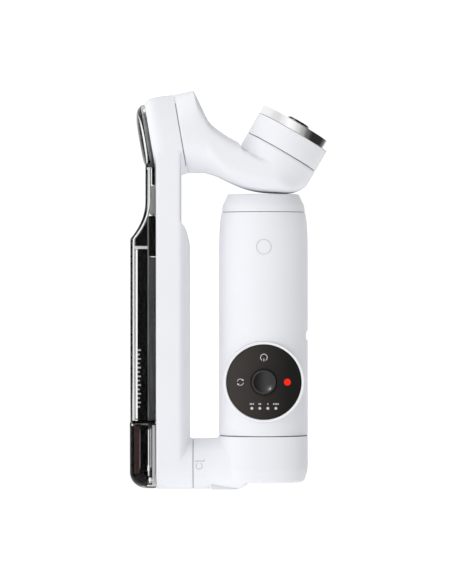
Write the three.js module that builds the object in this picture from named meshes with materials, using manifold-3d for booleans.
// Folding three-axis phone stabilizer, folded shut as it is stored.
// Millimetres. +Z runs along the handle, the control disc faces -Y and the folded arm lies on the -X side.
// Pieces are laid out with X = 0 on the handle's own axis, and the finished model is then moved so that its
// origin is in the middle of the bottom of its box. The pan motor is at the bottom, the tripod cap at the top.
import * as THREE from 'three';
import { mergeVertices } from 'three/addons/utils/BufferGeometryUtils.js';
import Module from 'manifold-3d';

const wasm = await Module();
wasm.setup();

// ---- driving dimensions -------------------------------------------------------------------------------------
const GAP = 0.3; // between neighbouring pieces

const HANDLE_X = 17.9; // half width of the handle
const HANDLE_Y = 15.2; // half depth of the handle
const HANDLE_POWER = 2.8; // how square the handle's section is: 2 is an ellipse
const HANDLE_WALL = 1.8;
const HANDLE_FOOT = 21.8;
const CAP_SEAM = 111.8;
const HANDLE_TOP = 119.1;

const DISC_Z = 43.55; // centre of the control disc
const DISC_RADIUS = 15;
const DISC_FRONT = -16.4;
const BEZEL_RADIUS = 16.2;
const STICK_Y = -11.8; // pivot of the thumb stick
const STICK_RADIUS = 4.85;
const DEPTH_HALF = 18; // the stick in front and the trigger behind reach this far

const PAN_TOP = 21.4;
const PAN_BOTTOM = 2.8;
const FOLD_Z = 10.2; // fold axis, along X
const FOLD_RADIUS = 10.2;
const FOLD_SEAM = -28.3;

const ARM_OUT = -43.3; // outer face of the white frame
const ARM_IN = -29.8; // inner face of the white frame
const NECK_IN = -33.4; // inner face where the frame narrows below the roll motor
const COVER_OUT = -53.6; // outer face of the clear cover
const END_CAP_OUT = -53.9;
const END_CAP_TOP = 27.1;
const COVER_TOP = 131;

const ROLL_CENTRE = { x: -33.5, z: 143.45 };
const ROLL_LEAN = THREE.MathUtils.degToRad(80.3); // roll axis, turned from +Z towards +X
const ROLL_RADIUS = 16;
const TILT_CENTRE = { x: 7.3, z: 136.2 };
const TILT_LEAN = THREE.MathUtils.degToRad(30);
const TILT_RADIUS = 15.6;
const TILT_TOP = 12.9; // rim of the tilt motor above its seam

const STATOR_RADIUS = 9.8;
const MAGNET_INNER = 10.6;
const MAGNET_OUTER = 12.8;
const SHAFT_RADIUS = 1.8;
const BEARING_OUTER = 3;

// ---- materials ----------------------------------------------------------------------------------------------
const finish = (color, roughness, metalness = 0, extra = {}) =>
  new THREE.MeshStandardMaterial({ color, roughness, metalness, ...extra });
const WHITE = finish(0xe9eaef, 0.45);
const BLACK = finish(0x1e1e1e, 0.5);
const DISC_BLACK = finish(0x2a2928, 0.35);
const RUBBER = finish(0x323130, 0.8);
const CHROME = finish(0xc8c8ca, 0.12, 1);
const STEEL = finish(0x9a9a9c, 0.35, 1);
const COPPER = finish(0xb5682f, 0.4, 1);
const BOARD = finish(0x14532f, 0.6);
const FOIL = finish(0x3a5fa8, 0.5);
const CLEAR = finish(0xeef2f4, 0.08, 0, { transparent: true, opacity: 0.35 });
const TINT = finish(0x3b2c2a, 0.1, 0, { transparent: true, opacity: 0.75 });

// ---- solids -------------------------------------------------------------------------------------------------
function volumeOf(geometry) {
  const position = geometry.getAttribute('position');
  const index = geometry.getIndex();
  const corner = [new THREE.Vector3(), new THREE.Vector3(), new THREE.Vector3()];
  let volume = 0;
  for (let i = 0; i < index.count; i += 3) {
    corner.forEach((point, k) => point.fromBufferAttribute(position, index.getX(i + k)));
    volume += corner[0].dot(corner[1].cross(corner[2])) / 6;
  }
  return volume;
}

// one closed mesh with shared vertices and its faces pointing out
function closed(geometry) {
  const bare = geometry.clone();
  bare.deleteAttribute('normal');
  bare.deleteAttribute('uv');
  const shape = mergeVertices(bare, 1e-4);
  if (volumeOf(shape) < 0) {
    shape.getIndex().array.reverse();
  }
  return shape;
}

function toSolid(geometry) {
  const shape = closed(geometry);
  const vertProperties = new Float32Array(shape.getAttribute('position').array);
  const triVerts = new Uint32Array(shape.getIndex().array);
  return new wasm.Manifold(new wasm.Mesh({ numProp: 3, vertProperties, triVerts }));
}

function toGeometry(solid) {
  const mesh = solid.getMesh();
  const geometry = new THREE.BufferGeometry();
  geometry.setAttribute('position', new THREE.BufferAttribute(mesh.vertProperties, 3));
  geometry.setIndex(new THREE.BufferAttribute(mesh.triVerts, 1));
  return geometry;
}

const cut = (body, ...tools) => toGeometry(tools.reduce((rest, tool) => rest.subtract(toSolid(tool)), toSolid(body)));
const join = (...parts) => toGeometry(parts.map(toSolid).reduce((sum, part) => sum.add(part)));

function box(x0, x1, y0, y1, z0, z1) {
  const geometry = new THREE.BoxGeometry(x1 - x0, y1 - y0, z1 - z0);
  return geometry.translate((x0 + x1) / 2, (y0 + y1) / 2, (z0 + z1) / 2);
}

// a profile of [radius, height] pairs turned about Z
function turned(profile, segments = 32) {
  const points = profile.map(([radius, height]) => new THREE.Vector2(radius, height));
  return closed(new THREE.LatheGeometry(points, segments).rotateX(Math.PI / 2));
}

const rod = (radius, z0, z1, segments = 24) =>
  turned([[0, z0], [radius, z0], [radius, z1], [0, z1]], segments);
const tube = (outer, inner, z0, z1, segments = 24) =>
  turned([[inner, z0], [outer, z0], [outer, z1], [inner, z1], [inner, z0]], segments);

// the same shapes with their axis laid along X or along Y, their heights becoming coordinates on that axis
const alongX = (geometry, y = 0, z = 0) => geometry.rotateY(Math.PI / 2).translate(0, y, z);
const alongY = (geometry, x = 0, z = 0) => geometry.rotateX(-Math.PI / 2).translate(x, 0, z);

// a superellipse as a ring of points at height z
function ring(halfX, halfY, z, power = HANDLE_POWER, count = 40) {
  const bend = (value) => Math.sign(value) * Math.abs(value) ** (2 / power);
  return Array.from({ length: count }, (_, i) => {
    const angle = (i / count) * 2 * Math.PI;
    return new THREE.Vector3(halfX * bend(Math.cos(angle)), halfY * bend(Math.sin(angle)), z);
  });
}

// a rectangle from x0 to x1 and -halfY to halfY at height z, with rounded corners
function roundedRing(x0, x1, halfY, z, radius, steps = 4) {
  const r = Math.min(radius, halfY - 0.01, (x1 - x0) / 2 - 0.01);
  const corners = [[x1 - r, halfY - r], [x0 + r, halfY - r], [x0 + r, r - halfY], [x1 - r, r - halfY]];
  return corners.flatMap(([cx, cy], quarter) =>
    Array.from({ length: steps + 1 }, (_, i) => {
      const angle = (quarter + i / steps) * (Math.PI / 2);
      return new THREE.Vector3(cx + r * Math.cos(angle), cy + r * Math.sin(angle), z);
    })
  );
}

// a skin through rings of equal count, closed by a fan at each end
function loft(rings) {
  const count = rings[0].length;
  const points = rings.flat();
  const middle = (list) => list.reduce((sum, p) => sum.add(p), new THREE.Vector3()).divideScalar(count);
  points.push(middle(rings[0]), middle(rings.at(-1)));
  const first = count * rings.length;
  const last = first - count;
  const index = [];
  for (let i = 0; i < count; i += 1) {
    const next = (i + 1) % count;
    for (let row = 0; row < last; row += count) {
      index.push(row + i, row + next, row + count + next, row + i, row + count + next, row + count + i);
    }
    index.push(first, next, i, first + 1, last + i, last + next);
  }
  const geometry = new THREE.BufferGeometry().setFromPoints(points);
  geometry.setIndex(index);
  return closed(geometry);
}

// an outline of [u, v] pairs extruded by depth along +Z
function slab(outline, depth) {
  const shape = new THREE.Shape(outline.map(([u, v]) => new THREE.Vector2(u, v)));
  return new THREE.ExtrudeGeometry(shape, { depth, bevelEnabled: false });
}

// ---- handle -------------------------------------------------------------------------------------------------
// half width of the handle's outside at height z: straight, then drawn in towards the tripod cap
const HANDLE_PROFILE = [
  [HANDLE_FOOT, HANDLE_X - 0.5],
  [HANDLE_FOOT + 0.5, HANDLE_X],
  [100, HANDLE_X],
  [106, 17.6],
  [109.5, 17.3],
  [CAP_SEAM - GAP / 2, 16.8],
];
const HANDLE_IN_X = HANDLE_X - HANDLE_WALL;
const HANDLE_IN_Y = HANDLE_Y - HANDLE_WALL;
const ROD_RADIUS = 6.2;

const TRIGGER = { halfX: 5.2, z0: 34.4, z1: 53.2, pivotY: 11, pivotZ: 36.4 };
const USB = { halfY: 4.4, z0: 60.4, z1: 63.6 };

function handleShell() {
  const outside = loft(HANDLE_PROFILE.map(([z, x]) => ring(x, (x * HANDLE_Y) / HANDLE_X, z)));
  const inside = loft([
    ring(HANDLE_IN_X, HANDLE_IN_Y, HANDLE_FOOT - 1),
    ring(HANDLE_IN_X, HANDLE_IN_Y, 100),
    ring(HANDLE_IN_X - 1.1, HANDLE_IN_Y - 1.1, CAP_SEAM + 1),
  ]);
  const controls = alongY(rod(BEZEL_RADIUS + GAP, -20, -7.6, 40), 0, DISC_Z);
  const triggerSlot = box(
    -TRIGGER.halfX - GAP, TRIGGER.halfX + GAP, 8, 20, TRIGGER.z0 - 2 * GAP, TRIGGER.z1 + 4 * GAP
  );
  const usbSlot = box(12, 20, -USB.halfY - GAP, USB.halfY + GAP, USB.z0 - GAP, USB.z1 + GAP);
  return cut(outside, inside, controls, triggerSlot, usbSlot);
}

function controlBezel() {
  const inner = DISC_RADIUS + 0.15;
  const front = DISC_FRONT + 0.2;
  return alongY(tube(BEZEL_RADIUS, inner, front, -7.9, 40), 0, DISC_Z);
}

function controlDisc() {
  const hole = STICK_RADIUS + 1.05; // room for the stick to tip
  const profile = [
    [hole, -15],
    [hole, DISC_FRONT + 0.15],
    [DISC_RADIUS - 0.4, DISC_FRONT],
    [DISC_RADIUS, DISC_FRONT + 0.4],
    [DISC_RADIUS, -15],
    [hole, -15],
  ];
  return alongY(turned(profile, 40), 0, DISC_Z);
}

const discPivotRing = () => alongY(tube(13.5, 11, -14.3, -13.3), 0, DISC_Z);

function mainBoard() {
  const plate = box(-9.6, 9.6, -11.7, -10.7, DISC_Z - 11.5, DISC_Z + 11.5);
  const joystickWindow = box(-6.5, 6.5, -13, -10, DISC_Z - 6.5, DISC_Z + 6.5);
  return cut(plate, joystickWindow);
}

function joystickHousing() {
  const half = 6.2;
  const block = box(-half, half, -14.5, -8.2, DISC_Z - half, DISC_Z + half);
  return cut(block, alongY(rod(5.2, -16, -8.9), 0, DISC_Z));
}

const joystickYoke = () => alongY(tube(4.3, 2.9, STICK_Y - 0.8, STICK_Y + 0.8, 24), 0, DISC_Z);

function joystickStick() {
  const ball = new THREE.SphereGeometry(2.4, 16, 10).translate(0, STICK_Y, DISC_Z);
  return join(ball, alongY(rod(1.5, -15.5, STICK_Y, 16), 0, DISC_Z));
}

function joystickCap() {
  const profile = [
    [0, -15.8],
    [STICK_RADIUS, -15.8],
    [STICK_RADIUS, -DEPTH_HALF + 0.7],
    [STICK_RADIUS - 1.2, -DEPTH_HALF],
    [0, -DEPTH_HALF],
  ];
  return alongY(turned(profile, 24), 0, DISC_Z);
}

function lightGuide() {
  const z = DISC_Z - 10.7;
  return box(-6.2, 6.2, -10.4, -9.6, z - 1.1, z + 1.1);
}

function triggerLever() {
  const { halfX, pivotY, pivotZ } = TRIGGER;
  const lever = new THREE.Shape();
  lever.moveTo(pivotY - 1.8, pivotZ);
  lever.quadraticCurveTo(pivotY, pivotZ - 3, pivotY + 3.4, TRIGGER.z0);
  lever.quadraticCurveTo(DEPTH_HALF + 2.25, 44, 16.6, TRIGGER.z1);
  lever.lineTo(13.6, TRIGGER.z1);
  lever.quadraticCurveTo(14.6, 44, pivotY - 0.6, pivotZ + 2.4);
  lever.closePath();
  const body = new THREE.ExtrudeGeometry(lever, { depth: 2 * halfX, bevelEnabled: false, curveSegments: 10 });
  // the outline's u and v are Y and Z, and the depth runs along X
  const placed = body.applyMatrix4(
    new THREE.Matrix4().makeBasis(
      new THREE.Vector3(0, 1, 0), new THREE.Vector3(0, 0, 1), new THREE.Vector3(1, 0, 0)
    )
  ).translate(-halfX, 0, 0);
  return cut(placed, alongX(rod(1.1, -20, 20, 16), pivotY, pivotZ));
}

const triggerPin = () => alongX(rod(0.8, -6.4, 6.4, 16), TRIGGER.pivotY, TRIGGER.pivotZ);
const triggerSpring = () => box(-1.5, 1.5, 8.2, 8.6, TRIGGER.pivotZ + 1, TRIGGER.pivotZ + 10);

function usbSocket() {
  const shell = box(11, HANDLE_X - 0.4, -USB.halfY, USB.halfY, USB.z0, USB.z1);
  return cut(shell, box(12.5, 20, 0.5 - USB.halfY, USB.halfY - 0.5, USB.z0 + 0.4, USB.z1 - 0.4));
}

function batteryCell(side) {
  const [near, far] = [7.2, 14.4];
  return side < 0 ? box(-far, -near, -7.4, 7.4, 27, 58.5) : box(near, far, -7.4, 7.4, 27, 58.5);
}

function rodCollar() {
  const plate = loft([
    ring(HANDLE_IN_X - GAP, HANDLE_IN_Y - GAP, HANDLE_FOOT + 0.1),
    ring(HANDLE_IN_X - GAP, HANDLE_IN_Y - GAP, HANDLE_FOOT + 4),
  ]);
  return cut(plate, rod(ROD_RADIUS + GAP, HANDLE_FOOT - 1, HANDLE_FOOT + 5));
}

// three tubes that slide in one another: outer, middle and inner
const ROD_WALL = 0.7;
function telescopeTube(step) {
  const outer = ROD_RADIUS - step * (ROD_WALL + GAP);
  return tube(outer, outer - ROD_WALL, HANDLE_FOOT + 0.3, 103 - 1.5 * step, 20);
}

// ---- tripod, stowed in the top of the handle ---------------------------------------------------------------
const LEG_COUNT = 3;

function tripodCap() {
  const levels = [
    [CAP_SEAM + GAP / 2, 16.75, 1],
    [115.4, 16.45, 1],
    [117.4, 15.3, 0.94],
    [HANDLE_TOP, 14.2, 0.82],
  ];
  const body = loft(levels.map(([z, x, flat]) => ring(x, (x * flat * HANDLE_Y) / HANDLE_X, z)));
  const notch = (side) => box(side * 14.2 - 1.9, side * 14.2 + 1.9, -20, -12.6, 114.6, 115.8);
  const insertBore = rod(5.5, CAP_SEAM - 1, HANDLE_TOP + 1);
  return cut(body, insertBore, notch(-1), notch(1));
}

const tripodHub = () => tube(12, 6.6, 105, 109);
const threadInsert = () => tube(5.2, 2.55, 109.6, HANDLE_TOP - 0.2, 20);

function tripodLeg(turn) {
  const [inner, outer, halfAngle, steps] = [7.2, 10.8, 0.66, 6];
  const arc = (radius, from, to) =>
    Array.from({ length: steps + 1 }, (_, i) => {
      const angle = turn + from + ((to - from) * i) / steps;
      return [radius * Math.cos(angle), radius * Math.sin(angle)];
    });
  const outline = [...arc(outer, -halfAngle, halfAngle), ...arc(inner, halfAngle, -halfAngle)];
  return slab(outline, 36).translate(0, 0, 68.4);
}

// ---- motors -------------------------------------------------------------------------------------------------
// a stack with twelve teeth, its bore left open for the bearing
function stator(z0, z1) {
  const teeth = 12;
  const points = [];
  for (let i = 0; i < teeth; i += 1) {
    const middle = (i / teeth) * 2 * Math.PI;
    // a narrow slot opening, a wide tip and a deep valley beside each tooth
    [[-0.42, 0.62], [-0.42, 1], [0.42, 1], [0.42, 0.62]].forEach(([swing, reach]) => {
      const angle = middle + (swing * 2 * Math.PI) / teeth;
      points.push([STATOR_RADIUS * reach * Math.cos(angle), STATOR_RADIUS * reach * Math.sin(angle)]);
    });
  }
  return cut(slab(points, z1 - z0).translate(0, 0, z0), rod(BEARING_OUTER + GAP, z0 - 1, z1 + 1));
}

const magnetRing = (z0, z1) => tube(MAGNET_OUTER, MAGNET_INNER, z0, z1);
const bearing = (z0, z1) => tube(BEARING_OUTER, SHAFT_RADIUS + GAP, z0, z1, 16);
const motorShaft = (z0, z1) => rod(SHAFT_RADIUS, z0, z1, 16);

// ---- pan motor and fold hinge -------------------------------------------------------------------------------
const CUP_RADIUS = 13.6;
const FOLD_SHAFT_RADIUS = 3.4;
const FOLD_BORE = FOLD_SHAFT_RADIUS + GAP;
const CAM_RADIUS = 7.6;

function panHousing() {
  const deep = HANDLE_Y / HANDLE_X;
  const levels = [[PAN_BOTTOM, 15.8], [3.4, 16.5], [7.5, HANDLE_X], [PAN_TOP - 0.5, HANDLE_X], [PAN_TOP, 17.5]];
  const body = loft(levels.map(([z, x]) => ring(x, x * deep, z)));
  const neck = alongX(rod(FOLD_RADIUS, FOLD_SEAM, -12, 32), 0, FOLD_Z);
  const cup = rod(CUP_RADIUS, 4.9, PAN_TOP + 1, 32);
  const bore = alongX(rod(FOLD_BORE, FOLD_SEAM - 1, -10, 24), 0, FOLD_Z);
  const camSeat = alongX(rod(CAM_RADIUS + GAP, FOLD_SEAM - 1, FOLD_SEAM + 3.4, 24), 0, FOLD_Z);
  const flapSeat = box(FLAP.x0 - GAP, FLAP.x1, -FLAP.halfY - GAP, FLAP.halfY + GAP, -1, FLAP.top + GAP);
  return cut(join(body, neck), cup, bore, camSeat, flapSeat);
}

// soft cover over the accessory slot under the hinge, flat below and swept up at its free end
const FLAP = { x0: -21.2, x1: -6.6, halfY: 6.5, top: 2.2, flatEnd: -12.7 };
function shoeFlap() {
  const outline = new THREE.Shape();
  outline.moveTo(FLAP.x0, 0);
  outline.lineTo(FLAP.flatEnd, 0);
  outline.quadraticCurveTo(-8.6, 0.2, FLAP.x1, 2.1);
  outline.lineTo(-8.2, 2.2);
  outline.quadraticCurveTo(-10, 1.5, -13, 1.4);
  outline.lineTo(-15, FLAP.top);
  outline.lineTo(FLAP.x0, FLAP.top);
  outline.closePath();
  const body = new THREE.ExtrudeGeometry(outline, { depth: 2 * FLAP.halfY, bevelEnabled: false, curveSegments: 5 });
  return body.rotateX(Math.PI / 2).translate(0, FLAP.halfY, 0);
}

const foldShaft = () => alongX(rod(FOLD_SHAFT_RADIUS, -42.2, -14.2, 24), 0, FOLD_Z);
const foldCam = () => alongX(tube(CAM_RADIUS, FOLD_BORE, FOLD_SEAM + 0.2, FOLD_SEAM + 3.1, 24), 0, FOLD_Z);
const foldNut = () => alongX(cut(rod(6, -41.8, -39, 6), rod(FOLD_BORE, -43, -38)), 0, FOLD_Z);
const foldEndCap = () => alongX(rod(6.4, -47.5, -43.7, 24), 0, FOLD_Z);

// ---- arm ----------------------------------------------------------------------------------------------------
// half depth of the arm at height z: round about the fold axis, then widening towards the roll motor
function armHalfY(z) {
  if (z < FOLD_Z) {
    return Math.sqrt(Math.max(FOLD_RADIUS ** 2 - (FOLD_Z - z) ** 2, 0.04));
  }
  const low = THREE.MathUtils.smoothstep(z, FOLD_Z, 45);
  const high = THREE.MathUtils.smoothstep(z, 95, 140);
  return FOLD_RADIUS + 3.2 * low + 1.4 * high;
}

// heights for a loft: close together round the bottom and wherever the outline bends
const footHeights = (lowest) => [0, 12, 25, 40, 60, 80].map(
  (degrees) => FOLD_Z - (FOLD_Z - lowest) * Math.cos(THREE.MathUtils.degToRad(degrees))
);

const rollFrame = () => new THREE.Matrix4().makeRotationY(ROLL_LEAN).setPosition(ROLL_CENTRE.x, 0, ROLL_CENTRE.z);

function armInner(z) {
  const narrowing = THREE.MathUtils.smoothstep(z, 98, 107.5);
  const fillet = 1.6 * THREE.MathUtils.smoothstep(z, 125, 129.5);
  return ARM_IN + (NECK_IN - ARM_IN) * narrowing + fillet;
}

function armFrame() {
  const heights = [...footHeights(0.1), 14, 20, 30, 45, 98, 100.5, 103, 105.5, 107.5, 116, 125, 127, 129, 134];
  const bar = loft(heights.map((z) => roundedRing(ARM_OUT, armInner(z), armHalfY(z), z, 3.2)));
  const boss = alongX(rod(FOLD_RADIUS - 0.1, -36, FOLD_SEAM - GAP, 32), 0, FOLD_Z);
  const motorBack = -12.3;
  const housing = turned([
    [0, motorBack], [14, motorBack], [15.6, motorBack + 1.6], [16.3, motorBack + 4],
    [ROLL_RADIUS, -GAP / 2], [0, -GAP / 2],
  ], 40).applyMatrix4(rollFrame());
  const motorPocket = rod(CUP_RADIUS, -9.4, 2, 32).applyMatrix4(rollFrame());
  const channel = box(ARM_OUT - 1, -41, -6, 6, 24, 141);
  const bore = alongX(rod(FOLD_BORE, -50, FOLD_SEAM, 24), 0, FOLD_Z);
  const nutPocket = alongX(rod(7.4, -50, -34.7, 24), 0, FOLD_Z);
  return cut(join(bar, boss, housing), motorPocket, channel, bore, nutPocket);
}

const flexCable = () => box(-42.8, -42.3, -4, 4, 26, 133);
const armLiner = () => loft(
  [25, 96, 104, 112, 124].map((z) => roundedRing(-45.2, ARM_OUT - GAP, Math.min(armHalfY(z) - 2.6, 10.4), z, 0.7, 2))
);

// outer face of the clear cover at height z: straight, a flare inwards, straight to the pinch below the motor
function coverOuter(z) {
  const flare = THREE.MathUtils.smoothstep(z, 97, 118);
  return COVER_OUT + 6.1 * flare;
}

const COVER_HEIGHTS = [40, 70, 96, 100, 103, 106, 109, 112, 118];

function armCore() {
  const heights = [28, ...COVER_HEIGHTS.slice(0, -2), 111];
  return loft(heights.map((z) => roundedRing(coverOuter(z) + 2.4, -45.5, armHalfY(z) - 3.4, z, 1.6, 2)));
}

function clearCover() {
  const wall = 1.4;
  const bottom = END_CAP_TOP + GAP;
  const skin = (heights, inset) => loft(heights.map((z) => {
    const outer = coverOuter(z) + inset;
    const right = ARM_OUT - GAP + (inset > 0 ? 3 : 0);
    return roundedRing(outer, right, armHalfY(z) - inset, z, 3.4 - inset, 4);
  }));
  const outside = skin([bottom, ...COVER_HEIGHTS, 126, COVER_TOP], 0);
  const inside = skin([bottom - 1, ...COVER_HEIGHTS, 126, COVER_TOP - wall], wall);
  const motorRoom = rod(18, -12.6, 5, 32).applyMatrix4(rollFrame());
  return cut(outside, inside, motorRoom);
}

// tinted cover over the end of the fold shaft, rounded at its lower outer corner
function endCap() {
  const wall = 1.6;
  const cornerRadius = 7;
  const outerX = (z) => {
    const drop = Math.max(cornerRadius - z, 0);
    return END_CAP_OUT + cornerRadius - Math.sqrt(Math.max(cornerRadius ** 2 - drop ** 2, 0.2));
  };
  const heights = [...footHeights(0.3), 14, 20, END_CAP_TOP];
  const outside = loft(heights.map((z) => roundedRing(outerX(z), ARM_OUT - GAP, armHalfY(z), z, 3.4, 4)));
  const insideHeights = [2.2, 3, 4.5, 7, 10.2, 14, 20, END_CAP_TOP + 1];
  const inside = loft(insideHeights.map((z) =>
    roundedRing(outerX(z - 0.6) + wall, ARM_OUT + 2, Math.max(armHalfY(z - 0.8) - wall, 0.6), z, 2, 4)
  ));
  return cut(outside, inside);
}

function rollDome() {
  const [seam, back, wall] = [-12.6, -16.9, 1.2];
  const dome = turned([
    [0, back], [8, back + 0.15], [11.8, back + 0.9], [13.8, back + 2.4], [14.2, seam],
    [14.2 - wall, seam], [13.8 - wall, back + 2.4 + wall / 2], [11.4 - wall / 2, back + 0.9 + wall],
    [8, back + 0.15 + wall], [0, back + wall],
  ], 32).applyMatrix4(rollFrame());
  return cut(dome, box(-60, -30, -20, 20, 120, COVER_TOP + GAP));
}

const rollBackPlate = () => tube(9.6, 2.4, -14.4, -13.6);

// ---- roll arm -----------------------------------------------------------------------------------------------
// Sections of the arm from the roll seam to the tilt seam. Each is an ellipse whose one axis runs from the
// upper to the lower edge of the arm in the XZ plane and whose other axis is its half depth along Y.
const onRoll = (along, out) => [
  ROLL_CENTRE.x + along * Math.sin(ROLL_LEAN) - out * Math.cos(ROLL_LEAN),
  ROLL_CENTRE.z + along * Math.cos(ROLL_LEAN) + out * Math.sin(ROLL_LEAN),
];
const onTilt = (along, out) => [
  TILT_CENTRE.x + along * Math.sin(TILT_LEAN) + out * Math.cos(TILT_LEAN),
  TILT_CENTRE.z + along * Math.cos(TILT_LEAN) - out * Math.sin(TILT_LEAN),
];

const ROLL_ARM = [
  [onRoll(GAP / 2, ROLL_RADIUS), onRoll(GAP / 2, -ROLL_RADIUS), ROLL_RADIUS],
  [onRoll(6.8, 16.2), onRoll(6.8, -16.6), 16.1],
  [onRoll(8.4, 15.2), [-21, 127], 15.6],
  [[-25.7, 155.4], [-18.6, 126.2], 15.4],
  [[-22.1, 148.2], [-14.8, 124.4], 15.2],
  [[-17.6, 144.2], [-10.5, 122.5], 15],
  [[-13.2, 141.4], [-6, 120.9], 15],
  [[-10.2, 139.7], [-0.6, 119.9], 15.1],
  [onTilt(-6.9, -15.75), [5.8, 119.5], 15.3],
  [onTilt(-6.85, -15.7), [11.4, 119.6], 15.3],
  [onTilt(-6.8, -15.65), [15.2, 121], 15.5],
  [onTilt(-6.7, -TILT_RADIUS), onTilt(-6.4, TILT_RADIUS), TILT_RADIUS],
  [onTilt(-GAP / 2, -TILT_RADIUS), onTilt(-GAP / 2, TILT_RADIUS), TILT_RADIUS],
];

function armSection([[topX, topZ], [lowX, lowZ], halfY], count = 36) {
  return Array.from({ length: count }, (_, i) => {
    const angle = (i / count) * 2 * Math.PI;
    const share = (1 + Math.cos(angle)) / 2;
    const x = lowX + (topX - lowX) * share;
    const z = lowZ + (topZ - lowZ) * share;
    return new THREE.Vector3(x, -halfY * Math.sin(angle), z);
  });
}

const tiltFrame = () => new THREE.Matrix4().makeRotationY(TILT_LEAN).setPosition(TILT_CENTRE.x, 0, TILT_CENTRE.z);

function rollArm() {
  const body = loft(ROLL_ARM.map((station) => armSection(station)));
  const rollPocket = rod(CUP_RADIUS, -1, 5.6, 32).applyMatrix4(rollFrame());
  const tiltPocket = rod(CUP_RADIUS, -5.6, 1, 32).applyMatrix4(tiltFrame());
  return cut(body, rollPocket, tiltPocket);
}

// ---- tilt motor, seen in its own frame with Z along the tilt axis -------------------------------------------
const tiltHousing = () => turned([
  [3, 7.4], [13.2, 7.4], [13.2, GAP / 2], [TILT_RADIUS, GAP / 2], [TILT_RADIUS, 9], [3, 9], [3, 7.4],
], 40);
const chromeRing = () => turned([
  [13.2, 9.3], [TILT_RADIUS, 9.3], [TILT_RADIUS, TILT_TOP - 0.5], [TILT_RADIUS - 0.5, TILT_TOP],
  [13.2, TILT_TOP], [13.2, 9.3],
], 40);
const clampMagnet = () => tube(12, 6, 9.3, 10.8);
const mountPlate = () => tube(12.9, 5.7, 11.1, 12.4, 32);
const locatingPost = () => turned([
  [0, 9.4], [5.35, 9.4], [5.35, TILT_TOP], [4.6, TILT_TOP + 1.1], [4.2, TILT_TOP + 1.5], [0, TILT_TOP + 1.5],
], 24);

// ---- assembly -----------------------------------------------------------------------------------------------
const model = new THREE.Group();
const rollGroup = new THREE.Group();
rollGroup.position.set(ROLL_CENTRE.x, 0, ROLL_CENTRE.z);
rollGroup.rotation.y = ROLL_LEAN;
const tiltGroup = new THREE.Group();
tiltGroup.position.set(TILT_CENTRE.x, 0, TILT_CENTRE.z);
tiltGroup.rotation.y = TILT_LEAN;
model.add(rollGroup, tiltGroup);

function add(group, name, geometry, material) {
  const mesh = new THREE.Mesh(geometry, material);
  mesh.name = name;
  group.add(mesh);
}

// handle
add(model, 'handle_sleeve', handleShell(), WHITE);
add(model, 'control_bezel', controlBezel(), WHITE);
add(model, 'main_board', mainBoard(), BOARD);
add(model, 'light_guide', lightGuide(), CLEAR);
add(model, 'joystick_housing', joystickHousing(), BLACK);
add(model, 'trigger_pin', triggerPin(), STEEL);
add(model, 'trigger_spring', triggerSpring(), STEEL);
add(model, 'usb_c_socket', usbSocket(), STEEL);
add(model, 'battery_cell_left', batteryCell(-1), FOIL);
add(model, 'battery_cell_right', batteryCell(1), FOIL);
add(model, 'rod_collar', rodCollar(), BLACK);
['rod_outer_tube', 'rod_middle_tube', 'rod_inner_tube'].forEach((name, step) => {
  add(model, name, telescopeTube(step), STEEL);
});
add(model, 'tripod_cap', tripodCap(), WHITE);
add(model, 'tripod_hub', tripodHub(), BLACK);
add(model, 'tripod_thread_insert', threadInsert(), STEEL);
for (let leg = 0; leg < LEG_COUNT; leg += 1) {
  add(model, `tripod_leg_${leg + 1}`, tripodLeg(Math.PI / 2 + (leg * 2 * Math.PI) / LEG_COUNT), BLACK);
}

// controls that move
add(model, 'disc_pivot_ring', discPivotRing(), BLACK);
add(model, 'control_disc', controlDisc(), DISC_BLACK);
add(model, 'joystick_yoke', joystickYoke(), BLACK);
add(model, 'joystick_stick', joystickStick(), BLACK);
add(model, 'joystick_cap', joystickCap(), RUBBER);
add(model, 'trigger', triggerLever(), WHITE);

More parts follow.
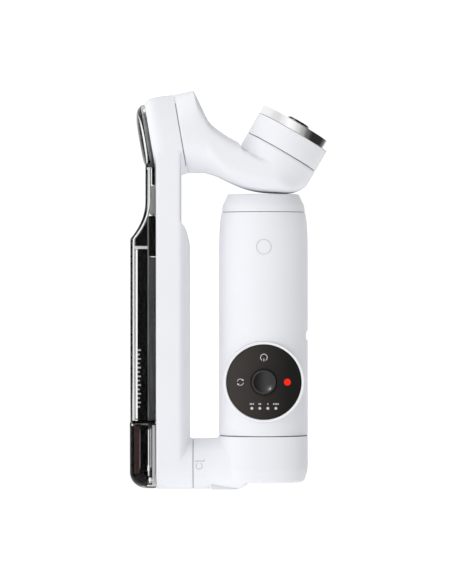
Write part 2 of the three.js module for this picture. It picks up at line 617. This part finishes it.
// pan motor: the stator, its plate and bearing stay with the handle, the rest turns
add(model, 'pan_stator', stator(7.4, 16.6), COPPER);
add(model, 'pan_stator_plate', tube(13, SHAFT_RADIUS + GAP, 18, 20.6), BLACK);
add(model, 'pan_bearing', bearing(10, 14), STEEL);
add(model, 'pan_housing', panHousing(), WHITE);
add(model, 'pan_magnet_ring', magnetRing(5.4, 17.4), STEEL);
add(model, 'pan_shaft', motorShaft(5, 20.4), STEEL);
add(model, 'shoe_flap', shoeFlap(), RUBBER);

// fold hinge
add(model, 'fold_shaft', foldShaft(), STEEL);
add(model, 'fold_cam', foldCam(), STEEL);
add(model, 'fold_nut', foldNut(), STEEL);
add(model, 'fold_end_cap', foldEndCap(), CHROME);

// arm
add(model, 'arm_frame', armFrame(), WHITE);
add(model, 'flex_cable', flexCable(), BOARD);
add(model, 'arm_liner', armLiner(), BLACK);
add(model, 'arm_core', armCore(), BLACK);
add(model, 'clear_cover', clearCover(), CLEAR);
add(model, 'arm_end_cap', endCap(), TINT);

// roll motor
add(rollGroup, 'roll_stator', stator(-8.6, -1.2), COPPER);
add(rollGroup, 'roll_bearing', bearing(-7, -3), STEEL);
add(model, 'roll_dome', rollDome(), CLEAR);
add(rollGroup, 'roll_back_plate', rollBackPlate(), BLACK);
add(rollGroup, 'roll_magnet_ring', magnetRing(-8.6, 5.2), STEEL);
add(rollGroup, 'roll_shaft', motorShaft(-8.8, 5.2), STEEL);
add(model, 'roll_arm', rollArm(), WHITE);

// tilt motor
add(tiltGroup, 'tilt_stator', stator(-5.2, 5.4), COPPER);
add(tiltGroup, 'tilt_bearing', bearing(-3, 1), STEEL);
add(tiltGroup, 'tilt_housing', tiltHousing(), WHITE);
add(tiltGroup, 'tilt_magnet_ring', magnetRing(-5.2, 7), STEEL);
add(tiltGroup, 'tilt_shaft', motorShaft(-5, 8.8), STEEL);
add(tiltGroup, 'chrome_ring', chromeRing(), CHROME);
add(tiltGroup, 'clamp_magnet', clampMagnet(), STEEL);
add(tiltGroup, 'mount_plate', mountPlate(), BLACK);
add(tiltGroup, 'locating_post', locatingPost(), CHROME);

// the box runs from the tinted end cap to the far rim of the chrome ring
const [FAR_RIM] = onTilt(TILT_TOP - 0.5, TILT_RADIUS);
model.position.x = -(END_CAP_OUT + FAR_RIM) / 2;

export default model;
